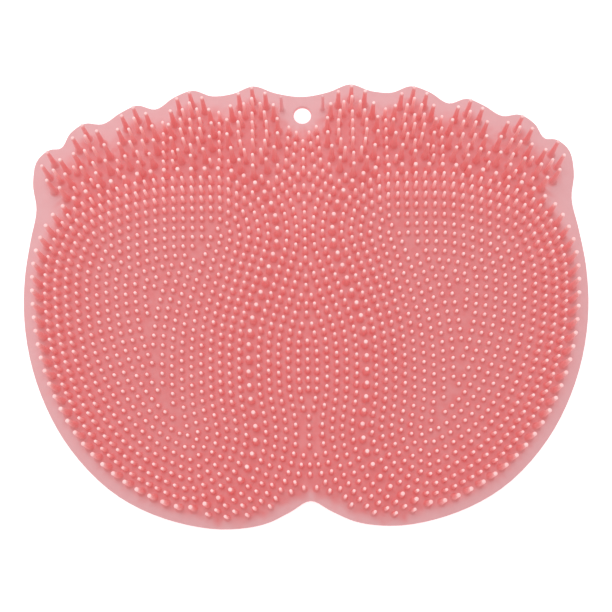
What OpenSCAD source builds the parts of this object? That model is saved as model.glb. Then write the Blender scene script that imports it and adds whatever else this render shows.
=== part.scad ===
// Shower foot scrubber: one soft silicone mat, moulded in one piece.
// Two foot-shaped beds of bristles, ten toe lobes along the top edge,
// a hanging hole between them and rows of suction cups underneath.
// Millimetres. Z is up, the toes point along +Y and the mat lies on z = 0.

/* [Plate] */
// Overall width of the mat, across both feet
mat_w = 301.4; // [285:0.1:315]
// Overall depth of the mat, from the heels to the toes
mat_d = 244; // [232:0.5:256]
// Thickness of the flat plate that carries the bristles
plate_t = 2; // [1.4:0.1:3]
// Distance from the rim to the outermost big bristles
rim_margin = 9.8; // [8:0.1:11]
// Bore of the hanging hole
hole_d = 9.6; // [6:0.1:10]
// Distance of the hanging hole from the middle of the mat
hole_y = 104.2; // [102:0.1:106]
// Distance from the middle of the hole up to the top edge
hole_bridge = 11; // [9:0.5:13]

/* [Foot rings] */
// Spacing of the big bristles that ring each foot
ring_pitch = 7.2; // [6:0.1:9]
// Height of a ring bristle beside the rim of the mat
ring_tall = 12.4; // [8:0.1:14]
// Height of a ring bristle away from the rim
ring_low = 8; // [5:0.1:9]
// Base diameter of a ring bristle
ring_base_d = 3.2; // [2.8:0.1:4.2]
// Tip diameter of a ring bristle
ring_tip_d = 2.3; // [1.6:0.1:2.7]

/* [Toes] */
// Height of the toe bristles, big and small
toe_h = 13; // [6:0.1:15]
// Base diameter of a toe bristle
toe_base_d = 3.2; // [2.6:0.1:4]
// Tip diameter of a toe bristle
toe_tip_d = 1.9; // [1.4:0.1:2.5]
// Gap between a toe's oval of big bristles and the small ones inside it
toe_inset = 6; // [5:0.1:6.8]

/* [Small bristles] */
// Spacing of the small bristles along a row
small_pitch = 5; // [4.6:0.05:7]
// Spacing of the rows inside each foot
row_pitch = 5.1; // [4.6:0.05:7]
// Spacing of the rows outside the feet
outer_pitch = 5.15; // [4.8:0.05:7]
// Gap between the ring and the first row inside it
first_row = 4.9; // [4.4:0.1:8]
// Base diameter of a small bristle
small_base_d = 2.2; // [2:0.1:2.8]
// Tip diameter of a small bristle
small_tip_d = 1.6; // [1:0.1:1.8]
// Height of the bristles at the bottom of each dished foot bed
bed_low = 2.8; // [1.5:0.1:5]
// Height of the first row inside the ring
bed_edge = 8; // [3:0.1:10]
// Width of the band over which the bed dishes
bed_slope = 25; // [10:0.5:40]
// Height of the small bristles in the web between the feet
web_low = 7.6; // [3:0.1:9]
// Height of the small bristles of the web beside the rim
web_edge = 12; // [6:0.1:14]
// Distance from the rim to the web's outermost bristles
web_margin = 6.2; // [5:0.1:10]
// The same distance along the toes, where the web stops short of the lobes
toe_web_margin = 15; // [10:0.5:25]
// Least distance between a filling bristle and its neighbours
spot_clear = 3.9; // [3.2:0.1:4.8]
// Bare band around the hanging hole
hole_clear = 4.5; // [2:0.1:8]
// Width of the band along the rim in which the bristles rise
rim_band = 5; // [2:0.5:12]

/* [Suction cups] */
// Height from the ground to the underside of the plate
cup_h = 6; // [4:0.1:9]
// Diameter of a cup's lip
cup_d = 19; // [14:0.5:22]
// Diameter of the neck that joins a cup to the plate
cup_neck_d = 7; // [5:0.1:9]
// Thickness of the cup's wall at the lip
cup_lip_t = 0.6; // [0.4:0.1:1]
// Spacing of the cups along a row
cup_pitch_x = 38; // [28:0.5:48]
// Spacing of the rows of cups
cup_pitch_y = 34; // [28:0.5:38]
// Distance from a cup's lip to the rim
cup_rim_gap = 5; // [3:0.5:12]

/* [Hidden] */

silicone = [0.90, 0.46, 0.49];
deck = cup_h + plate_t;
bed_depth = 62;
join = 0.4;

// The lines below are drawn for a mat of this width and depth, and fitted to
// the width and depth set above.
drawn = [301.4, 244];
stretch = [mat_w / drawn.x, mat_d / drawn.y];
function fitted(p) = [p.x * stretch.x, p.y * stretch.y];

// Rim from the notch between the heels up to the waist under the little toe.
side_line = [
    [0, -108.3], [10.6, -113.8], [22.2, -119.2], [40.6, -122], [69.6, -117.7], [99, -104],
    [124.2, -79], [140.6, -49], [149.5, -14.5], [150.4, 14.5], [147.7, 36], [145, 53]
];
side_points = [for (p = side_line) fitted(p)];
top_middle = [0, hole_y + hole_bridge];

// One toe per row: centre, half width, half length, lean, big bristles in
// its oval, small bristles in the oval inside that, bristles down its middle.
toe_table = [
    [[131.5, 68.2], 5.5, 10.4, 19, 6, 0, 1],
    [[113, 79.4], 8.4, 13.8, 16, 8, 4, 0],
    [[88.5, 87], 9.5, 15.4, 5, 10, 6, 0],
    [[59.7, 92.6], 11.3, 17.8, 1, 12, 10, 2],
    [[26.7, 90.4], 13.6, 21.8, 0, 14, 14, 4]
];
toes = [for (t = toe_table)
    [fitted(t[0]), t[1] * stretch.x, t[2] * stretch.y, t[3], t[4], t[5], t[6]]];

// The ring of one foot, clockwise from the middle of its top.
ring_line = [
    [60, 70.3], [81.3, 69.3], [103.3, 64], [127.3, 51], [139.3, 27], [140.2, -12],
    [129.6, -51.5], [109, -83.5], [84, -103], [60.5, -111], [38.3, -100], [27.7, -77],
    [30.3, -50], [29.3, -17], [20.3, 12], [14.5, 35], [21.7, 57.5], [38.3, 68.7]
];
ring_points = [for (p = ring_line) fitted(p)];

function ease(t) = let (u = min(max(t, 0), 1)) u * u * (3 - 2 * u);
function turned(v, a) = [v.x * cos(a) + v.y * sin(a), v.y * cos(a) - v.x * sin(a)];
function both_sides(half) = concat(
    half, [for (i = [len(half) - 2 : -1 : 1]) [-half[i].x, half[i].y]]);

// Smooth closed curve through points.
function slope_at(a, b, c) = let (p = norm(b - a), q = norm(c - b))
    ((b - a) * q / p + (c - b) * p / q) / (p + q);
function smooth_loop(pts, steps) = let (n = len(pts)) [
    for (i = [0 : n - 1])
        let (
            a = pts[(i + n - 1) % n], b = pts[i], c = pts[(i + 1) % n], d = pts[(i + 2) % n],
            span = norm(c - b), u = slope_at(a, b, c) * span, v = slope_at(b, c, d) * span
        )
        for (k = [0 : steps - 1]) let (t = k / steps)
            (2 * t ^ 3 - 3 * t ^ 2 + 1) * b + (t ^ 3 - 2 * t ^ 2 + t) * u
            + (3 * t ^ 2 - 2 * t ^ 3) * c + (t ^ 3 - t ^ 2) * v
];

// Points at an even spacing along a closed curve, as near to the pitch as fits.
function run_lengths(path) = let (n = len(path)) [
    for (i = 0, s = 0; i <= n; s = s + norm(path[(i + 1) % n] - path[i % n]), i = i + 1) s
];
function spaced(path, pitch, count = 0) = len(path) < 3 ? [] : let (
        n = len(path), s = run_lengths(path), total = s[n],
        xs = [for (i = [0 : n]) [s[i], path[i % n].x]],
        ys = [for (i = [0 : n]) [s[i], path[i % n].y]],
        m = count > 0 ? count : max(1, round(total / pitch))
    )
    [for (k = [0 : m - 1]) let (w = total * k / m) [lookup(w, xs), lookup(w, ys)]];

function inside(path, p) = let (n = len(path)) len([
    for (i = [0 : n - 1]) let (a = path[i], b = path[(i + 1) % n])
        if ((a.y > p.y) != (b.y > p.y) && p.x < (b.x - a.x) * (p.y - a.y) / (b.y - a.y) + a.x) i
]) % 2 == 1;
function gap_to(path, p) = min([for (q = path) norm(q - p)]);
function normals(path) = let (n = len(path)) [
    for (i = [0 : n - 1]) let (t = path[(i + 1) % n] - path[(i + n - 1) % n])
        [t.y, -t.x] / norm(t)
];
// The closed curve moved sideways; what would fold over itself is left out.
function moved(path, side, d) = let (n = normals(path)) [
    for (i = [0 : len(path) - 1]) let (p = path[i] + n[i] * side * d)
        if (gap_to(path, p) > d - 0.12) p
];

// A point on the oval of a toe, or on a larger oval about it. The rim runs
// through such points at every lobe.
function on_toe(t, a, grow) = t[0]
    + turned([(t[1] + grow) * sin(a), (t[2] + grow) * cos(a)], t[3]);
function lobe(i, angles) = [for (a = angles) on_toe(toes[i], a, rim_margin)];
rim = smooth_loop(both_sides(concat(
    side_points, lobe(0, [75, 30, 0, -20]), [for (i = [1 : 4]) each lobe(i, [30, 0, -30])],
    [top_middle])), 5);

// Keeps the first of any two spots that would stand too close together.
function thinned(spots, gap) = [for (i = [0 : len(spots) - 1])
    if (i == 0 || min([for (j = [0 : i - 1]) norm(spots[i] - spots[j])]) > gap) spots[i]];

ring = smooth_loop(ring_points, 14);
ring_spots = spaced(ring, ring_pitch);
function rim_rise(p, low, tall) = low
    + (tall - low) * ease((rim_margin + 2 * rim_band - gap_to(rim, p)) / (2 * rim_band));

// Rows inside the foot follow the ring, each one pitch further in, and the
// bed dishes: its bristles get shorter towards the middle of the foot.
function bed_height(d) = bed_low + (bed_edge - bed_low) * ease(1 - (d - first_row) / bed_slope);
bed_rows = [for (d = [first_row : row_pitch : bed_depth])
    let (row = spaced(moved(ring, 1, d), small_pitch))
        if (len(row) > 0) [bed_height(d), thinned(row, small_pitch * 0.78)]];

// A toe is an oval of big bristles, a smaller oval inside it and a short row.
function toe_oval(t, grow, count) = count == 0 ? [] :
    spaced([for (a = [0 : 5 : 355]) on_toe(t, a, grow)], 1, count);
toe_spots = [for (t = toes) each toe_oval(t, 0, t[4])];
toe_small = [for (t = toes) each concat(
    toe_oval(t, -toe_inset, t[5]),
    [for (k = [1 : 1 : t[6]]) t[0] + turned([0, (k - (t[6] + 1) / 2) * small_pitch], t[3])])];

// Rows outside the ring fill the web between the feet and around the toes.
function on_a_toe(p) = len([for (t = toes) let (q = turned(p - t[0], -t[3]))
    if ((q.x / t[1]) ^ 2 + (q.y / t[2]) ^ 2 < 1) 1]) > 0;
function by_the_toes(p) = p.y > 0 && p.x > 14;
function free_spot(p) = norm(p - [0, hole_y]) > hole_d / 2 + hole_clear
    && gap_to(rim, p) > (by_the_toes(p) ? toe_web_margin : web_margin)
    && inside(rim, p) && gap_to(toe_spots, p) > spot_clear && !on_a_toe(p);
web_spots = [for (k = [1 : 9]) each [
    for (p = spaced(moved(ring, -1, k * outer_pitch), small_pitch))
        if (p.x > small_pitch / 2 && free_spot(p)) p]];
// One row runs down the middle, wherever the rows from both sides leave room.
middle_spots = [for (y = [-95 : small_pitch : 95]) let (p = [0, y])
    if (free_spot(p) && gap_to(web_spots, p) > spot_clear) p];

cup_spots = [for (y = [-2.5 : 2.5], x = [0.5 : 3.5])
    let (p = [x * cup_pitch_x, y * cup_pitch_y])
        if (inside(rim, p) && gap_to(rim, p) > cup_d / 2 + cup_rim_gap) p];
// Half section of a cup: flared wall outside, domed hollow inside, flat lip.
neck_h = 1.2;
crown_t = 1;
cup_wall = [for (k = [0 : 5]) let (t = k / 5) [
    cup_neck_d / 2 + (cup_d - cup_neck_d) / 2 * t,
    cup_lip_t + (cup_h - neck_h - cup_lip_t) * (1 - t) ^ 2]];
cup_hollow = [for (k = [5 : -1 : 0]) let (t = k / 5) [
    (cup_d / 2 - cup_lip_t) * t, (cup_h - neck_h - crown_t) * (1 - t) ^ 2 * (1 + t)]];
cup_section = concat([[0, cup_h + join], [cup_neck_d / 2, cup_h + join]],
    cup_wall, [[cup_d / 2, 0]], cup_hollow);

// All that is moulded onto the plate stands on both halves of the mat.
function mirrored(spots) = [for (p = spots, side = [-1, 1]) [side * p.x, p.y]];
web_all = concat(mirrored(web_spots), middle_spots);
// Every bristle as [place, base diameter, tip diameter, height].
bristles = concat(
    [for (p = mirrored(ring_spots)) [p, ring_base_d, ring_tip_d, rim_rise(p, ring_low, ring_tall)]],
    [for (row = bed_rows, p = mirrored(row[1])) [p, small_base_d, small_tip_d, row[0]]],
    [for (p = mirrored(toe_spots)) [p, toe_base_d, toe_tip_d, toe_h]],
    [for (p = mirrored(toe_small)) [p, small_base_d, small_tip_d, toe_h]],
    [for (p = web_all) [p, small_base_d, small_tip_d, rim_rise(p, web_low, web_edge)]]
);
// The plate comes first, so that everything else is joined to it in one step.
forms = concat(
    [["plate"]],
    [for (p = mirrored(cup_spots)) ["cup", p]],
    [for (b = bristles) ["bristle", each b]]
);

module plate() {
    translate([0, 0, cup_h])
        linear_extrude(height = plate_t)
            difference() {
                polygon(rim);
                translate([0, hole_y]) circle(d = hole_d, $fn = 72);
            }
}

module bristle(base_d, tip_d, h) {
    translate([0, 0, deck - join])
        cylinder(h = h + join, d1 = base_d, d2 = tip_d, $fn = 24);
}

module suction_cup() {
    rotate_extrude($fn = 48) polygon(cup_section);
}

module form(f) {
    if (f[0] == "plate") plate();
    else if (f[0] == "cup") translate(f[1]) suction_cup();
    else translate(f[1]) bristle(f[2], f[3], f[4]);
}

module scrubber_mat() {
    color(silicone) for (f = forms) form(f);
}

scrubber_mat();
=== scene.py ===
import math

import bmesh
import bpy
import numpy as np
from mathutils import Matrix, Vector


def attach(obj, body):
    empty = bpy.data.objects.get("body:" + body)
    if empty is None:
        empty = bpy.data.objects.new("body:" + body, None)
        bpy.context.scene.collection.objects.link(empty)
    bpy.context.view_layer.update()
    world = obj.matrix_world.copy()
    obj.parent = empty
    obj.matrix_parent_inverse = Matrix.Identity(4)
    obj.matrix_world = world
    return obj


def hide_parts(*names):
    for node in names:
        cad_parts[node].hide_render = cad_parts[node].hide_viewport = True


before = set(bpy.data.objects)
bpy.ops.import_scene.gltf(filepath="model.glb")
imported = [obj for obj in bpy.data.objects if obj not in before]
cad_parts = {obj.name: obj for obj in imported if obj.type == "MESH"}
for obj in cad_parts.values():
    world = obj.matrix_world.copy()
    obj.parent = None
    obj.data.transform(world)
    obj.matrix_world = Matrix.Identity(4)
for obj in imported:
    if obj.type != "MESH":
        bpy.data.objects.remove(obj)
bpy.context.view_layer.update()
MM = 0.001

# Sizes of the mat in millimetres, as in its CAD model.
GROUND_TO_PLATE = 6.0
PLATE = 2.0
DECK = GROUND_TO_PLATE + PLATE
EDGE_ROUND = 0.7
# The bristles' feet are sunk this much into the plate.
SUNK = 0.02
# How far off the deck, the ground or upright counts as none.
CLOSE = 0.01
# Tip radii above which a bristle belongs to a foot's ring or to a toe's oval.
RING_TIP = 1.05
TOE_TIP = 0.88
# The plate starts to look bare, losing the field's painted shade, where three roots are no
# longer within BUSY_REACH, and gets a painted shade in the beds where the bristles are lower
# than DISH_EDGE: each fades in over a few mm.
BUSY_REACH = 5.8
BARE_FADE = 3.5
DISH_EDGE = 8.0
DISH_FADE = 4.5
# A bristle looks alone if the plate at this distance round it is bare enough. Thick
# ones keep only a share of that above the foot.
AROUND = 7.0
ALONE_FROM = 0.3
ALONE_FADE = 0.45
THICK_SHARE = 0.3
# Painted light on the small bristles' shafts: from the heels' side over lower bristles ahead, in
# a strip of the plate, and a little from the toes' side.
STRIP_HALF_WIDTH = 5.0
STRIP_START = 3.0
STRIP_END = 16.0
TALL = 9.5
LIT_STEP = 3.0
TOES_SHARE = 0.4
TOES_FROM = 20.0
TOES_FADE = 40.0
PALER = 0.2
# The camera stands over the heels, a little tipped towards the toes.
CAMERA_SPOT = (1.54, -139.2, DECK + 376)
CAMERA_TIP = 6.5
MAT_LEAN = 1.27
LENS = 43.0
SHIFT = (-0.0147, 0.281)


# Modelling helpers


def nothing_selected():
    if bpy.context.object and bpy.context.object.mode != "OBJECT":
        bpy.ops.object.mode_set(mode="OBJECT")
    bpy.ops.object.select_all(action="DESELECT")


def only(piece):
    nothing_selected()
    piece.select_set(True)
    bpy.context.view_layer.objects.active = piece
    return piece


def settled(piece, name):
    only(piece)
    bpy.ops.object.transform_apply(location=True, rotation=True, scale=True)
    piece.name = name
    piece.data.name = name
    return piece


def select_in_edit(piece, kind, wanted):
    """Selects in edit mode the edges or faces for which wanted() is true."""
    mode = {"edges": "EDGE", "faces": "FACE"}[kind]
    bpy.ops.mesh.select_mode(type=mode)
    bpy.ops.mesh.select_all(action="DESELECT")
    mesh = bmesh.from_edit_mesh(piece.data)
    for part in getattr(mesh, kind):
        if wanted(part):
            part.select_set(True)
    mesh.select_flush_mode()
    bmesh.update_edit_mesh(piece.data)


def extruded(up, widen=1.0):
    """Draws what is selected upwards, and widens its new end."""
    bpy.ops.mesh.extrude_region_move(TRANSFORM_OT_translate={"value": (0, 0, up)})
    if widen != 1.0:
        bpy.ops.transform.resize(value=(widen, widen, 1.0))


# Reading the solid: the scene's bristles, cups and rim stand where the CAD
# model has them.


def merged_solid():
    """The CAD mesh in millimetres, its loose triangles joined."""
    solid = bmesh.new()
    solid.from_mesh(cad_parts["scrubber_mat"].data)
    bmesh.ops.scale(solid, vec=(1000, 1000, 1000), verts=solid.verts)
    bmesh.ops.remove_doubles(solid, verts=solid.verts, dist=0.001)
    bmesh.ops.dissolve_degenerate(solid, dist=0.0001, edges=solid.edges)
    solid.verts.index_update()
    solid.normal_update()
    return solid


def islands(solid, among):
    """Groups of joined corners for which among() is true: (middle, radius) of each one's top."""
    seen, found = set(), []
    for start in solid.verts:
        if start.index in seen or not among(start.co):
            continue
        group, waiting = [], [start]
        seen.add(start.index)
        while waiting:
            corner = waiting.pop()
            group.append(corner.co)
            for edge in corner.link_edges:
                other = edge.other_vert(corner)
                if other.index not in seen and among(other.co):
                    seen.add(other.index)
                    waiting.append(other)
        height = max(spot.z for spot in group)
        top = [spot for spot in group if spot.z > height - CLOSE]
        middle = sum(top, Vector()) / len(top)
        radius = max((spot - middle).to_2d().length for spot in top)
        found.append((middle, radius))
    return found


def deck_lines(solid):
    """The closed lines where an upright wall meets the deck: the rim, then the hole."""
    following = {}
    for edge in solid.edges:
        on_deck = all(abs(v.co.z - DECK) < CLOSE for v in edge.verts)
        if on_deck and any(abs(f.normal.z) < CLOSE for f in edge.link_faces):
            a, b = edge.verts
            following.setdefault(a, []).append(b)
            following.setdefault(b, []).append(a)
    lines = []
    while following:
        corner, line = next(iter(following)), []
        while corner is not None:
            line.append(corner.co.to_2d())
            ahead = [c for c in following.pop(corner) if c in following]
            corner = ahead[0] if ahead else None
        lines.append(line)
    return sorted(lines, key=lambda line: -max(spot.x for spot in line))[:2]


solid = merged_solid()
tips = islands(solid, lambda c: c.z > DECK + 0.5)
lips = islands(solid, lambda c: c.z < CLOSE)
rim, hole = deck_lines(solid)
solid.free()
ROOTS = np.array([middle[:2] for middle, radius in tips])
HEIGHTS = np.array([middle.z - DECK for middle, radius in tips])


# The plate


def line_of(points, name):
    """A closed line through points, started as a round one."""
    nothing_selected()
    bpy.ops.mesh.primitive_circle_add(vertices=len(points), radius=0.1, fill_type="NOTHING")
    line = bpy.context.object
    line.name = name
    for corner, spot in zip(line.data.vertices, points):
        corner.co = (spot.x * MM, spot.y * MM, (GROUND_TO_PLATE + EDGE_ROUND) * MM)
    return line


def rounded_off(plate, facing):
    """Rounds the plate's upper or lower edges, at the rim and in the hole, by insets."""
    select_in_edit(plate, "faces", lambda f: f.normal.z * facing > 0.99)
    steps = [math.radians(a) for a in (0, 30, 60, 90)]
    for before, after in zip(steps, steps[1:]):
        bpy.ops.mesh.inset(
            thickness=EDGE_ROUND * MM * (math.cos(before) - math.cos(after)),
            depth=EDGE_ROUND * MM * (math.sin(after) - math.sin(before)))


def make_plate():
    edge_line = line_of(rim, "plate")
    hole_line = line_of(hole, "hole_line")
    nothing_selected()
    hole_line.select_set(True)
    edge_line.select_set(True)
    bpy.context.view_layer.objects.active = edge_line
    bpy.ops.object.join()
    plate = only(edge_line)
    bpy.ops.object.mode_set(mode="EDIT")
    bpy.ops.mesh.select_all(action="SELECT")
    bpy.ops.mesh.fill(use_beauty=True)
    bpy.ops.mesh.select_all(action="SELECT")
    bpy.ops.mesh.normals_make_consistent(inside=False)
    extruded((PLATE - 2 * EDGE_ROUND) * MM)
    bpy.ops.mesh.select_all(action="SELECT")
    bpy.ops.mesh.normals_make_consistent(inside=False)
    rounded_off(plate, 1)
    rounded_off(plate, -1)
    # Straight cuts both ways give the plate corners enough to carry its colour.
    for axis, reach in (((1, 0, 0), 150), ((0, 1, 0), 120)):
        for step in range(-reach, reach + 1, 3):
            bpy.ops.mesh.select_all(action="SELECT")
            bpy.ops.mesh.bisect(plane_co=Vector(axis) * step * MM, plane_no=axis)
    bpy.ops.object.mode_set(mode="OBJECT")
    bpy.ops.object.shade_smooth()
    weighted = plate.modifiers.new("even_shading", "WEIGHTED_NORMAL")
    weighted.weight = 80
    bpy.ops.object.modifier_apply(modifier=weighted.name)
    return settled(plate, "bristle_plate")


def bareness(places):
    """How bare the plate is at each place: 0 among bristles, 1 well away from them."""
    third = np.array([np.partition(np.hypot(*(ROOTS - place).T), 2)[2] for place in places])
    return np.clip((third - BUSY_REACH) / BARE_FADE, 0, 1)


def dish(places):
    """How low the bristles round each place are, for the painted shade of the beds: 1 in the
    middle of a foot's bed.
    """
    nearest = [np.argpartition(np.hypot(*(ROOTS - place).T), 5)[:6] for place in places]
    return np.clip((DISH_EDGE - HEIGHTS[np.array(nearest)].mean(axis=1)) / DISH_FADE, 0, 1)


def lit_shafts(middles):
    """How much light is painted on each shaft: 1 where its heel side looks over a low bed."""
    lit = TOES_SHARE * np.clip((middles[:, 1] - TOES_FROM) / TOES_FADE, 0, 1)
    for i, middle in enumerate(middles):
        own, away = middle[2] - DECK, ROOTS - middle[:2]
        ahead = abs(away[:, 0]) < STRIP_HALF_WIDTH
        ahead &= (away[:, 1] < -STRIP_START) & (away[:, 1] > -STRIP_END)
        if own < TALL and ahead.any():
            lit[i] = max(lit[i], min((own - HEIGHTS[ahead].mean()) / LIT_STEP, 1))
    return lit


def standing_alone(middles):
    """How far each bristle stands on bare plate: 0 in the field, 1 all by itself."""
    around = np.linspace(0, 2 * math.pi, 12, endpoint=False)
    ring = np.stack([np.cos(around), np.sin(around)], axis=1) * AROUND
    beside = np.array([bareness(middle[:2] + ring).mean() for middle in middles])
    return np.clip((beside - ALONE_FROM) / ALONE_FADE, 0, 1)


def store(mesh, name, values):
    mesh.attributes.new(name, "FLOAT", "POINT").data.foreach_set("value", values)


def mark_plate(plate):
    corners = np.empty(len(plate.data.vertices) * 3)
    plate.data.vertices.foreach_get("co", corners)
    places = corners.reshape(-1, 3)[:, :2] / MM
    store(plate.data, "bareness", bareness(places))
    store(plate.data, "dish", dish(places))


# The bristles


def bristle_form(name, sides, base, tip, height, foot):
    """One bristle at the origin, drawn up from its root: sizes are radii and mm."""
    nothing_selected()
    bpy.ops.mesh.primitive_circle_add(
        vertices=sides, radius=(base + foot) * MM, fill_type="NGON",
        location=(0, 0, (DECK - SUNK) * MM))
    form = bpy.context.object
    bpy.ops.object.mode_set(mode="EDIT")
    bpy.ops.mesh.select_all(action="SELECT")
    # The foot swells gently out of the plate, the shaft tapers and its end is round:
    # each ring of corners is a height and a radius.
    waist, neck, cap = tip + (base - tip) * 0.42, tip + (base - tip) * 0.1, tip * 0.18
    rings = [(0.12, base + foot * 0.45), (0.6, base), (height * 0.5, waist),
             (height - tip * 1.7, neck), (height - tip * 0.6, tip),
             (height - cap, tip * 0.72)]
    level, radius = -SUNK, base + foot
    for up, wide in rings:
        extruded((up - level) * MM, widen=wide / radius)
        level, radius = up, wide
    extruded(cap * MM)
    bpy.ops.mesh.merge(type="CENTER")
    bpy.ops.mesh.select_all(action="SELECT")
    bpy.ops.mesh.normals_make_consistent(inside=False)
    bpy.ops.object.mode_set(mode="OBJECT")
    bpy.ops.object.shade_smooth()
    return settled(form, name)


def mark_bristles(mesh, kind, middles, shade):
    """Stores what the rubber's colour follows on a field of like bristles."""
    small = kind == "small"
    # The small shafts that more light falls on are painted lighter, most so half way up.
    painted_shaft_light = np.outer(lit_shafts(middles) * small, PALER * np.sin(math.pi * shade ** 2))
    # A bristle on bare plate is as pale as the plate, without the field's painted shade: a thick
    # one mostly at its foot.
    share = np.where(shade > 0, 1.0 if small else THICK_SHARE, 1.0)
    store(mesh, "up_the_shaft", (np.tile(shade, (len(middles), 1)) + painted_shaft_light).clip(0, 1).ravel())
    store(mesh, "bareness", np.outer(standing_alone(middles), share).ravel())
    store(mesh, "dish", np.outer(dish(middles[:, :2]), 1 - shade).ravel())


def planted(kind, form, height, shades, spots):
    """Copies of one bristle at every spot, each drawn out to its own height."""
    corners = np.empty(len(form.data.vertices) * 3)
    form.data.vertices.foreach_get("co", corners)
    corners = corners.reshape(-1, 3)
    up = np.clip((corners[:, 2] / MM - DECK) / height, 0, 1)
    # The ring that a corner is on gives its place on the colour ramp, from painted shade to
    # painted highlight: 0 where the foot starts, 1 at the end.
    levels = np.unique(corners[:, 2].round(6))
    shade = np.array(shades)[np.searchsorted(levels, corners[:, 2].round(6))]
    middles = np.array([middle for middle, radius in spots])
    # The end takes all of a bristle's extra height, the waist half of it, the foot none.
    stretch = np.where(up > 0.8, 1, np.where(up > 0.3, 0.5, 0))
    field_corners = []
    for middle in middles:
        own = middle[2] - DECK
        copy = corners.copy()
        copy[:, 2] += (own - height) * MM * stretch
        copy[:, :2] += middle[:2] * MM
        field_corners.append(copy)
    faces = [tuple(p.vertices) for p in form.data.polygons]
    count = len(corners)
    mesh = bpy.data.meshes.new(kind + "_bristles")
    mesh.from_pydata(
        np.concatenate(field_corners), [],
        [[v + i * count for v in face] for i in range(len(spots)) for face in faces])
    mesh.polygons.foreach_set("use_smooth", [True] * len(mesh.polygons))
    mark_bristles(mesh, kind, middles, shade)
    mesh.update()
    # The edge round each foot is sharp, so that its shading runs on into the plate's.
    ends = np.empty(len(mesh.edges) * 2, dtype=int)
    mesh.edges.foreach_get("vertices", ends)
    round_foot = (shade == 0)[ends % count].reshape(-1, 2).all(axis=1)
    mesh.edges.foreach_set("use_edge_sharp", round_foot)
    field = bpy.data.objects.new(mesh.name, mesh)
    bpy.context.scene.collection.objects.link(field)
    bpy.data.objects.remove(form)
    return field


def foot_field(name, side):
    """All bristles of one foot: side is -1 for the left one and 1 for the right one."""
    fields = []
    for kind, sides, base, tip, height, foot, shades, spots in BRISTLES:
        form = bristle_form(kind, sides, base, tip, height, foot)
        own = [spot for spot in spots if (spot[0].x > 0) == (side > 0)]
        fields.append(planted(kind, form, height, shades, own))
    nothing_selected()
    for field in fields:
        field.select_set(True)
    bpy.context.view_layer.objects.active = fields[0]
    bpy.ops.object.join()
    return settled(fields[0], name)


# The suction cups


def cup_form():
    """One cup at the origin: half its section is drawn as a line and spun round."""
    section = [(0.0, 4.0), (2.2, 3.8), (4.4, 3.0), (6.5, 1.8), (8.2, 0.6), (8.95, 0.05),
               (9.3, 0.0), (9.5, 0.25), (9.35, 0.65), (7.9, 1.35), (6.2, 2.2), (4.6, 3.3),
               (3.7, 4.6), (3.5, 5.4), (3.9, 6.1), (3.9, 6.5), (0.0, 6.5)]
    nothing_selected()
    bpy.ops.mesh.primitive_circle_add(vertices=len(section), radius=0.01, fill_type="NOTHING")
    cup = bpy.context.object
    for corner, (out, up) in zip(cup.data.vertices, section):
        corner.co = (out * MM, 0, up * MM)
    bpy.ops.object.mode_set(mode="EDIT")
    select_in_edit(cup, "edges", lambda e: all(v.co.x < 1e-6 for v in e.verts))
    bpy.ops.mesh.delete(type="EDGE")
    bpy.ops.mesh.select_all(action="SELECT")
    bpy.ops.mesh.spin(steps=32, angle=2 * math.pi, center=(0, 0, 0), axis=(0, 0, 1))
    bpy.ops.mesh.select_all(action="SELECT")
    bpy.ops.mesh.remove_doubles(threshold=0.00001)
    bpy.ops.mesh.normals_make_consistent(inside=False)
    bpy.ops.object.mode_set(mode="OBJECT")
    bpy.ops.object.shade_smooth_by_angle(angle=math.radians(60))
    return settled(cup, "cup")


def make_cups():
    form = cup_form()
    cups = []
    for middle, radius in lips:
        cup = form.copy()
        cup.data = form.data.copy()
        cup.location = (middle.x * MM, middle.y * MM, 0)
        bpy.context.scene.collection.objects.link(cup)
        cups.append(cup)
    bpy.data.objects.remove(form)
    nothing_selected()
    for cup in cups:
        cup.select_set(True)
    bpy.context.view_layer.objects.active = cups[0]
    bpy.ops.object.join()
    joined = settled(cups[0], "suction_cups")
    # The rubber is palest at the thin lips and coral at the necks: painted light, as if shining
    # out of the thin rubber.
    corners = np.empty(len(joined.data.vertices) * 3)
    joined.data.vertices.foreach_get("co", corners)
    store(joined.data, "bareness", 1 - corners[2::3] / MM / GROUND_TO_PLATE)
    return joined


# The shade of each ring of corners, from the foot up, with painted shade at the root and a
# painted highlight at the tip: thick bristles stay coral for longer.
THICK_SHADES = [0, 0.06, 0.3, 0.4, 0.47, 0.68, 0.93, 1]
SMALL_SHADES = [0, 0.14, 0.27, 0.58, 0.74, 0.89, 0.96, 1]
# Kind, sides of the form, root and tip radii, height, width of its foot, shades, places.
BRISTLES = [
    ("ring", 12, 1.6, 1.15, 8, 1.5, THICK_SHADES,
     [t for t in tips if t[1] > RING_TIP]),
    ("toe", 12, 1.6, 0.95, 13, 1.4, THICK_SHADES,
     [t for t in tips if TOE_TIP < t[1] <= RING_TIP]),
    ("small", 8, 1.1, 0.8, 8, 1.3, SMALL_SHADES,
     [t for t in tips if t[1] <= TOE_TIP]),
]
plate = make_plate()
mark_plate(plate)
left_field = foot_field("left_foot_bristles", -1)
right_field = foot_field("right_foot_bristles", 1)
cups = make_cups()


# Materials


class Wire:
    """An output socket that takes part in differences and products."""

    def __init__(self, shader, socket):
        self.shader, self.socket = shader, socket

    def maths(self, operation, *others):
        return self.shader.node("ShaderNodeMath", {"operation": operation}, list(others))

    def __sub__(self, other):
        return self.maths("SUBTRACT", self, other)

    def __mul__(self, other):
        return self.maths("MULTIPLY", self, other)

    def __rsub__(self, other):
        return self.maths("SUBTRACT", other, self)

    __rmul__ = __mul__


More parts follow.
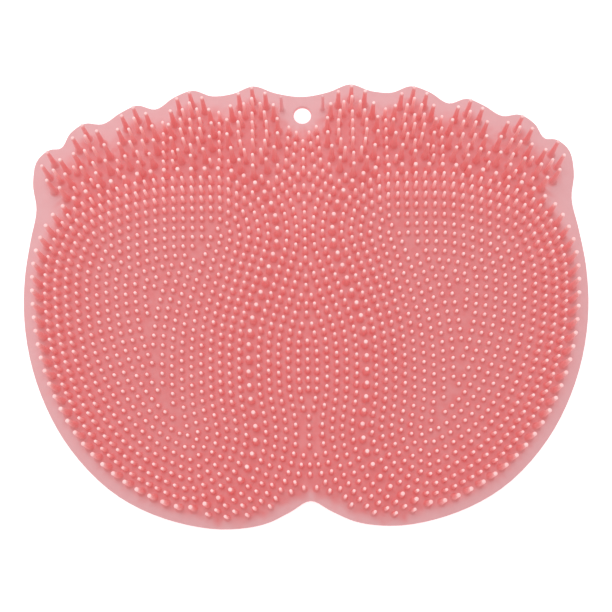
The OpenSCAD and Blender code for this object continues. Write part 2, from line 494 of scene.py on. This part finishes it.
class Finish:
    """A material and its nodes."""

    def __init__(self, name):
        self.material = bpy.data.materials.new(name)
        self.material.use_nodes = True
        self.tree = self.material.node_tree
        self.tree.nodes.clear()

    def node(self, kind, settings=None, sockets=None, out=0):
        made = self.tree.nodes.new(kind)
        for key, value in (settings or {}).items():
            if key == "stops":
                ramp = made.color_ramp
                for at, colour in value[1:-1]:
                    ramp.elements.new(at).color = (*colour, 1)
                ramp.elements[0].position, ramp.elements[-1].position = value[0][0], value[-1][0]
                ramp.elements[0].color = (*value[0][1], 1)
                ramp.elements[-1].color = (*value[-1][1], 1)
            else:
                setattr(made, key, value)
        pairs = enumerate(sockets) if isinstance(sockets, list) else (sockets or {}).items()
        for key, value in pairs:
            if isinstance(value, Wire):
                self.tree.links.new(value.socket, made.inputs[key])
            else:
                made.inputs[key].default_value = value
        return Wire(self, made.outputs[out]) if made.outputs else made


def silicone():
    """Translucent rubber: pale where bare, with a painted highlight at the tips, coral with
    painted shade in the field of bristles.
    """
    finish = Finish("soft_silicone")
    up = finish.node("ShaderNodeAttribute", {"attribute_name": "up_the_shaft"}, out=2)
    bare = finish.node("ShaderNodeAttribute", {"attribute_name": "bareness"}, out=2)
    # Along each shaft: painted shade at the root, a painted highlight at the tip.
    shaft = finish.node("ShaderNodeValToRGB", {"stops": [
        (0.0, (0.77, 0.28, 0.288)), (0.12, (0.775, 0.25, 0.255)), (0.24, (0.785, 0.24, 0.24)),
        (0.5, (0.82, 0.34, 0.335)), (0.75, (0.88, 0.49, 0.48)), (0.88, (0.94, 0.60, 0.595)),
        (1.0, (0.95, 0.64, 0.635))]}, [up])
    # The field of bristles is coral with painted shade; the bare plate keeps the rubber's own
    # pale colour.
    colour = finish.node("ShaderNodeMix", {"data_type": "RGBA"}, {
        0: bare, 6: shaft, 7: (0.78, 0.42, 0.438, 1)}, out=2)
    # Painted shade in the beds, where the bristles are low.
    low = finish.node("ShaderNodeAttribute", {"attribute_name": "dish"}, out=2)
    painted_bed_shade = finish.node("ShaderNodeMix", {"data_type": "RGBA"}, {
        0: low, 6: (1, 1, 1, 1), 7: (0.96, 0.84, 0.84, 1)}, out=2)
    colour = finish.node("ShaderNodeMix", {"data_type": "RGBA", "blend_type": "MULTIPLY"}, {
        0: 1.0, 6: colour, 7: painted_bed_shade}, out=2)
    cloud = finish.node("ShaderNodeTexNoise", {}, {
        "Vector": finish.node("ShaderNodeTexCoord", out=3), "Scale": 210.0, "Detail": 2.0})
    depth = finish.node("ShaderNodeValToRGB", {"stops": [
        (0.35, (0.99, 0.86, 0.86)), (0.65, (1.0, 1.03, 1.03))]}, [cloud])
    colour = finish.node("ShaderNodeMix", {"data_type": "RGBA", "blend_type": "MULTIPLY"}, {
        0: 1 - bare * 0.8, 6: colour, 7: depth}, out=2)
    # Painted glow: emission stands in for light passing into the rubber, most of it at the thin
    # ends.
    painted_glow = finish.node("ShaderNodeValToRGB", {"stops": [
        (0.2, (0.4, 0.38, 0.38)), (0.38, (0.74, 0.64, 0.64)), (0.7, (0.70, 0.64, 0.64)),
        (0.9, (1.0, 1.0, 1.0))]}, [up * (1 - bare * 0.3)])
    lit = finish.node("ShaderNodeMix", {"data_type": "RGBA", "blend_type": "MULTIPLY"}, {
        0: 1.0, 6: colour, 7: painted_glow}, out=2)
    surface = finish.node("ShaderNodeBsdfPrincipled", {}, {
        "Base Color": colour, "Roughness": 0.58 - cloud * 0.16, "IOR": 1.41,
        "Emission Color": lit, "Emission Strength": 0.27})
    finish.node("ShaderNodeOutputMaterial", {}, {"Surface": surface})
    return finish.material


def plain(name, colour, rough, glow):
    finish = Finish(name)
    surface = finish.node("ShaderNodeBsdfPrincipled", {}, {
        "Base Color": (*colour, 1), "Roughness": rough,
        "Emission Color": (1, 1, 1, 1), "Emission Strength": glow})
    finish.node("ShaderNodeOutputMaterial", {}, {"Surface": surface})
    return finish.material


def dressed(piece, material):
    piece.data.materials.clear()
    piece.data.materials.append(material)
    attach(piece, "root")
    return piece


rubber = silicone()
for piece in (plate, left_field, right_field, cups):
    dressed(piece, rubber)
    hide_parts("scrubber_mat")


# Studio


nothing_selected()
bpy.ops.mesh.primitive_plane_add(size=6, location=(0, 0, 0))
floor = bpy.context.object
floor.name = "floor"
floor.data.materials.append(plain("pale_floor", (0.93, 0.93, 0.93), 0.9, 0.55))


def softbox(name, spot, size, power):
    bpy.ops.object.light_add(type="AREA", location=spot)
    lamp = bpy.context.object
    lamp.name = name
    lamp.data.shape = "DISK"
    lamp.data.size = size
    lamp.data.energy = power
    lamp.rotation_euler = (-Vector(spot)).to_track_quat("-Z", "Y").to_euler()
    return lamp


softbox("top_light", (-0.2, 0.56, 1.0), 1.2, 4.25)
world = bpy.data.worlds.new("studio")
bpy.context.scene.world = world
world.use_nodes = True
world.node_tree.nodes["Background"].inputs["Color"].default_value = (1, 1, 1, 1)
world.node_tree.nodes["Background"].inputs["Strength"].default_value = 0.66


def stand_camera():
    lean, tip = math.radians(MAT_LEAN), math.radians(CAMERA_TIP)
    right = Vector((math.cos(lean), -math.sin(lean), 0))
    level = Vector((math.sin(lean), math.cos(lean), 0))
    up = level * math.cos(tip) + Vector((0, 0, math.sin(tip)))
    back = right.cross(up)
    camera = bpy.data.objects.new("camera", bpy.data.cameras.new("camera"))
    bpy.context.scene.collection.objects.link(camera)
    camera.data.lens = LENS
    camera.data.sensor_width = 36
    camera.data.shift_x, camera.data.shift_y = SHIFT
    camera.data.clip_start = 0.01
    turn = Matrix((right, up, back)).transposed()
    camera.matrix_world = Matrix.Translation(Vector(CAMERA_SPOT) * MM) @ turn.to_4x4()
    bpy.context.scene.camera = camera


stand_camera()
bpy.context.scene.view_settings.view_transform = "Standard"
